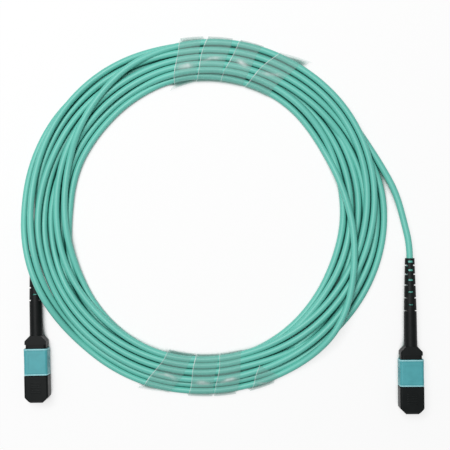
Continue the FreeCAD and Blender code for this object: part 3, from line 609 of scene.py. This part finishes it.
def makeFilm(name, strip, material):
    # grid of steps along the strip by steps across it: angle and radius run evenly between the edges' places,
    # and the height follows the strands on top, the floor below and a droop in the loose ends
    rows = filmRows(strip)
    rims = strip["rims"]
    s = np.linspace(0, 1, film["across"] + 1)
    margin = outline["margin"]
    angles = np.linspace(rows[:, :, 0].min() - margin, rows[:, :, 0].max() + margin, outline["angles"])
    radii = np.linspace(rims[0] - margin, rims[1] + margin, outline["radii"])
    crest = strandTop(angles, radii, rims)
    alongWave, rowWave, acrossWave = film["ripple"]
    pieces = []
    for k in range(len(rows) - 1):
        loose = k == 0 or (k == len(rows) - 2 and "end" in strip)
        steps = film["looseSteps"] if loose else film["steps"]
        t = np.linspace(0, 1, steps + 1)[k > 0:, None]
        w = t if loose else (1 - np.cos(np.pi * t)) / 2
        first, last = rows[k], rows[k + 1]
        edge = first[:, None, :] + (last - first)[:, None, :] * w[None]
        place = edge[0][:, None, :] * (1 - s)[None, :, None] + edge[1][:, None, :] * s[None, :, None]
        ripple = np.sin(alongWave * t + rowWave * k + acrossWave * s)
        angle = place[..., 0] + film["waver"] * np.sin(np.pi * t) * ripple
        radius = place[..., 1]
        if loose:
            away = np.abs(radius - np.clip(radius, *rims)) / film["flapReach"]
            height = film["rimHeight"] + (film["flapHeight"] - film["rimHeight"]) * np.clip(away, 0, 1)
        elif k % 2:
            height = tableAt(crest, angle, radius, angles, radii) + film["lift"]
        else:
            rise = np.abs(2 * w - 1) ** film["bend"] + 0 * angle
            height = film["floor"] + (film["rimHeight"] - film["floor"]) * rise
        uv = np.stack([k + t + 0 * angle, s + 0 * angle], -1)
        pieces.append(np.concatenate([roundCoil(angle, radius, height), uv], -1))
    grid = np.concatenate(pieces)
    obj = gridMesh(name + "_strip", grid[..., :3] * mm, grid[..., 3:])
    length = np.linalg.norm(np.diff(grid[..., :3], axis=0), axis=-1).mean(axis=1).sum()
    print(name, "strip length", round(length, 1), "mm")
    obj.data.materials.append(material)
    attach(obj, "cable")
    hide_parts(name)


filmLook = {
    # haze is the film's own tint; white is the colour of its painted highlight and glint
    "haze": (0.33, 0.57, 0.52, 1), "white": (0.88, 0.92, 0.91, 1), "roughness": 0.22, "specular": 0.18,
    "cloud": (220, 2), "stray": (60, 0),  # noises: scale and detail
    "drift": 0.3, "sharp": 150.0, "narrow": 1.6, "gleam": 1.1,  # how the painted gleam strays, its form and strength
    "edge": 22.0, "edgeWhite": (1.6, 0.05),  # how thin the painted glint on the cut edge is, its white from the cloud and without
    "veil": (0.1, 0.19), "cover": 0.6, "most": 0.95,  # cover from the cloud and without, from the painted white, at most
}


def filmMaterial(name, strip):
    # thin haze with a painted highlight, a soft gleam where the strip crosses the crest, and a painted glint,
    # a white line along the cut edge on one side
    material, tree, bsdf = newMaterial(name)
    place = tree.nodes.new("ShaderNodeTexCoord").outputs
    axes = tree.nodes.new("ShaderNodeSeparateXYZ")
    tree.links.new(place["UV"], axes.inputs[0])
    along, across = axes.outputs["X"], axes.outputs["Y"]
    cloud = noiseNode(tree, place["Object"], *filmLook["cloud"])
    stray = noiseNode(tree, place["Object"], *filmLook["stray"])
    # painted highlight: a soft white gleam over the crest, moved a little by the stray noise
    drift = filmLook["drift"]
    shift = mathNode(tree, "MULTIPLY_ADD", stray, drift, -drift / 2 - strip["gleam"])
    moved = mathNode(tree, "ADD", along, shift)
    wave = mathNode(tree, "SINE", mathNode(tree, "MULTIPLY", moved, -math.pi))
    crest = mathNode(tree, "POWER", mathNode(tree, "MAXIMUM", wave, 0.0), filmLook["sharp"])
    middle = mathNode(tree, "SINE", mathNode(tree, "MULTIPLY", across, math.pi))
    spot = mathNode(tree, "MULTIPLY", crest, mathNode(tree, "POWER", middle, filmLook["narrow"]))
    gleam = mathNode(tree, "MULTIPLY", spot, mathNode(tree, "MULTIPLY", cloud, filmLook["gleam"]))
    # painted glint: white along the cut edge on one side only, patchy with the cloud
    near = mathNode(tree, "ABSOLUTE", mathNode(tree, "SUBTRACT", across, strip["bright"]))
    edgeGlint = mathNode(tree, "SUBTRACT", 1.0, mathNode(tree, "MULTIPLY", near, filmLook["edge"]))
    edgeGlintStrength = mathNode(tree, "MULTIPLY_ADD", cloud, *filmLook["edgeWhite"])
    edgeGlint = mathNode(tree, "MULTIPLY", mathNode(tree, "MAXIMUM", edgeGlint, 0.0), edgeGlintStrength)
    # the painted highlight and glint whiten the haze here and raise its cover below
    white = mathNode(tree, "ADD", gleam, edgeGlint)
    tone = mixNode(tree, mathNode(tree, "MINIMUM", white, 1.0), filmLook["haze"], filmLook["white"])
    tree.links.new(tone, bsdf.inputs["Base Color"])
    veil = mathNode(tree, "MULTIPLY_ADD", cloud, *filmLook["veil"])
    alpha = mathNode(tree, "ADD", veil, mathNode(tree, "MULTIPLY", white, filmLook["cover"]))
    tree.links.new(mathNode(tree, "MINIMUM", alpha, filmLook["most"]), bsdf.inputs["Alpha"])
    bsdf.inputs["Roughness"].default_value = filmLook["roughness"]
    bsdf.inputs["Specular IOR Level"].default_value = filmLook["specular"]
    return material


makeFilm("film_top", filmTop, filmMaterial("filmTop", filmTop))
makeFilm("film_bottom", filmBottom, filmMaterial("filmBottom", filmBottom))


# Studio: pale floor, soft lights

# slit is how near strands have to be to darken the floor; clear is the range of openness over which it turns
# white, and the second range the one over which it loses its painted shade, a tint in the strands' dark
# crease colour
ground = {"size": 25.0, "color": (0.92, 0.92, 0.92, 1), "roughness": 0.9, "whiteness": 0.75, "slit": 0.006,
          "samples": 12, "clear": (0.4, 0.62), "bare": (0.28, 0.5)}
studio = {"world": 0.25, "lampPower": 8.2, "lampSize": 0.6, "lampPlace": (-0.2, 0.25, 0.9)}


def makeFloor():
    # one triangle round the part, so that no edge inside the floor shows as a line
    size = ground["size"]
    side = size * math.sqrt(3)
    mesh = bpy.data.meshes.new("floor")
    mesh.from_pydata([(-side, -size, 0), (side, -size, 0), (0, 2 * size, 0)], [], [(0, 1, 2)])
    floor = linked(bpy.data.objects.new("floor", mesh))
    material, tree, bsdf = newMaterial("floor")
    bsdf.inputs["Roughness"].default_value = ground["roughness"]
    # seen straight or in a reflection, most of the floor is plain white and the rest carries the shadow; in
    # the slits between strands the white fades, and the floor takes the strands' dark crease colour as a
    # painted shade
    path = tree.nodes.new("ShaderNodeLightPath").outputs
    seen = mathNode(tree, "MAXIMUM", path["Is Camera Ray"], path["Is Glossy Ray"])
    seen = mathNode(tree, "MAXIMUM", seen, path["Is Transmission Ray"])
    around = openNode(tree, ground["slit"], ground["samples"], False)
    clear = rangeNode(tree, around, *ground["clear"])
    bare = rangeNode(tree, around, *ground["bare"])
    # painted shade: the floor's colour turns to the strands' dark crease colour where they close in
    base = mixNode(tree, bare, (*looks["cable_jacket"]["creaseShade"], 1), ground["color"])
    tree.links.new(base, bsdf.inputs["Base Color"])
    glow = tree.nodes.new("ShaderNodeEmission")
    mix = tree.nodes.new("ShaderNodeMixShader")
    white = mathNode(tree, "MULTIPLY", clear, ground["whiteness"])
    tree.links.new(mathNode(tree, "MULTIPLY", seen, white), mix.inputs["Fac"])
    tree.links.new(bsdf.outputs[0], mix.inputs[1])
    tree.links.new(glow.outputs[0], mix.inputs[2])
    tree.links.new(mix.outputs[0], tree.nodes["Material Output"].inputs["Surface"])
    floor.data.materials.append(material)


def makeLights():
    world = bpy.data.worlds.new("studio")
    bpy.context.scene.world = world
    world.use_nodes = True
    sky = world.node_tree.nodes["Background"].inputs
    sky["Color"].default_value = (1, 1, 1, 1)
    sky["Strength"].default_value = studio["world"]
    lamp = bpy.data.lights.new("softbox", "AREA")
    lamp.energy = studio["lampPower"]
    lamp.size = studio["lampSize"]
    box = linked(bpy.data.objects.new("softbox", lamp))
    box.location = studio["lampPlace"]
    box.rotation_mode = "QUATERNION"
    box.rotation_quaternion = box.location.to_track_quat("Z", "Y")


makeFloor()
makeLights()
bpy.context.scene.view_settings.view_transform = "Standard"
print("studio set")
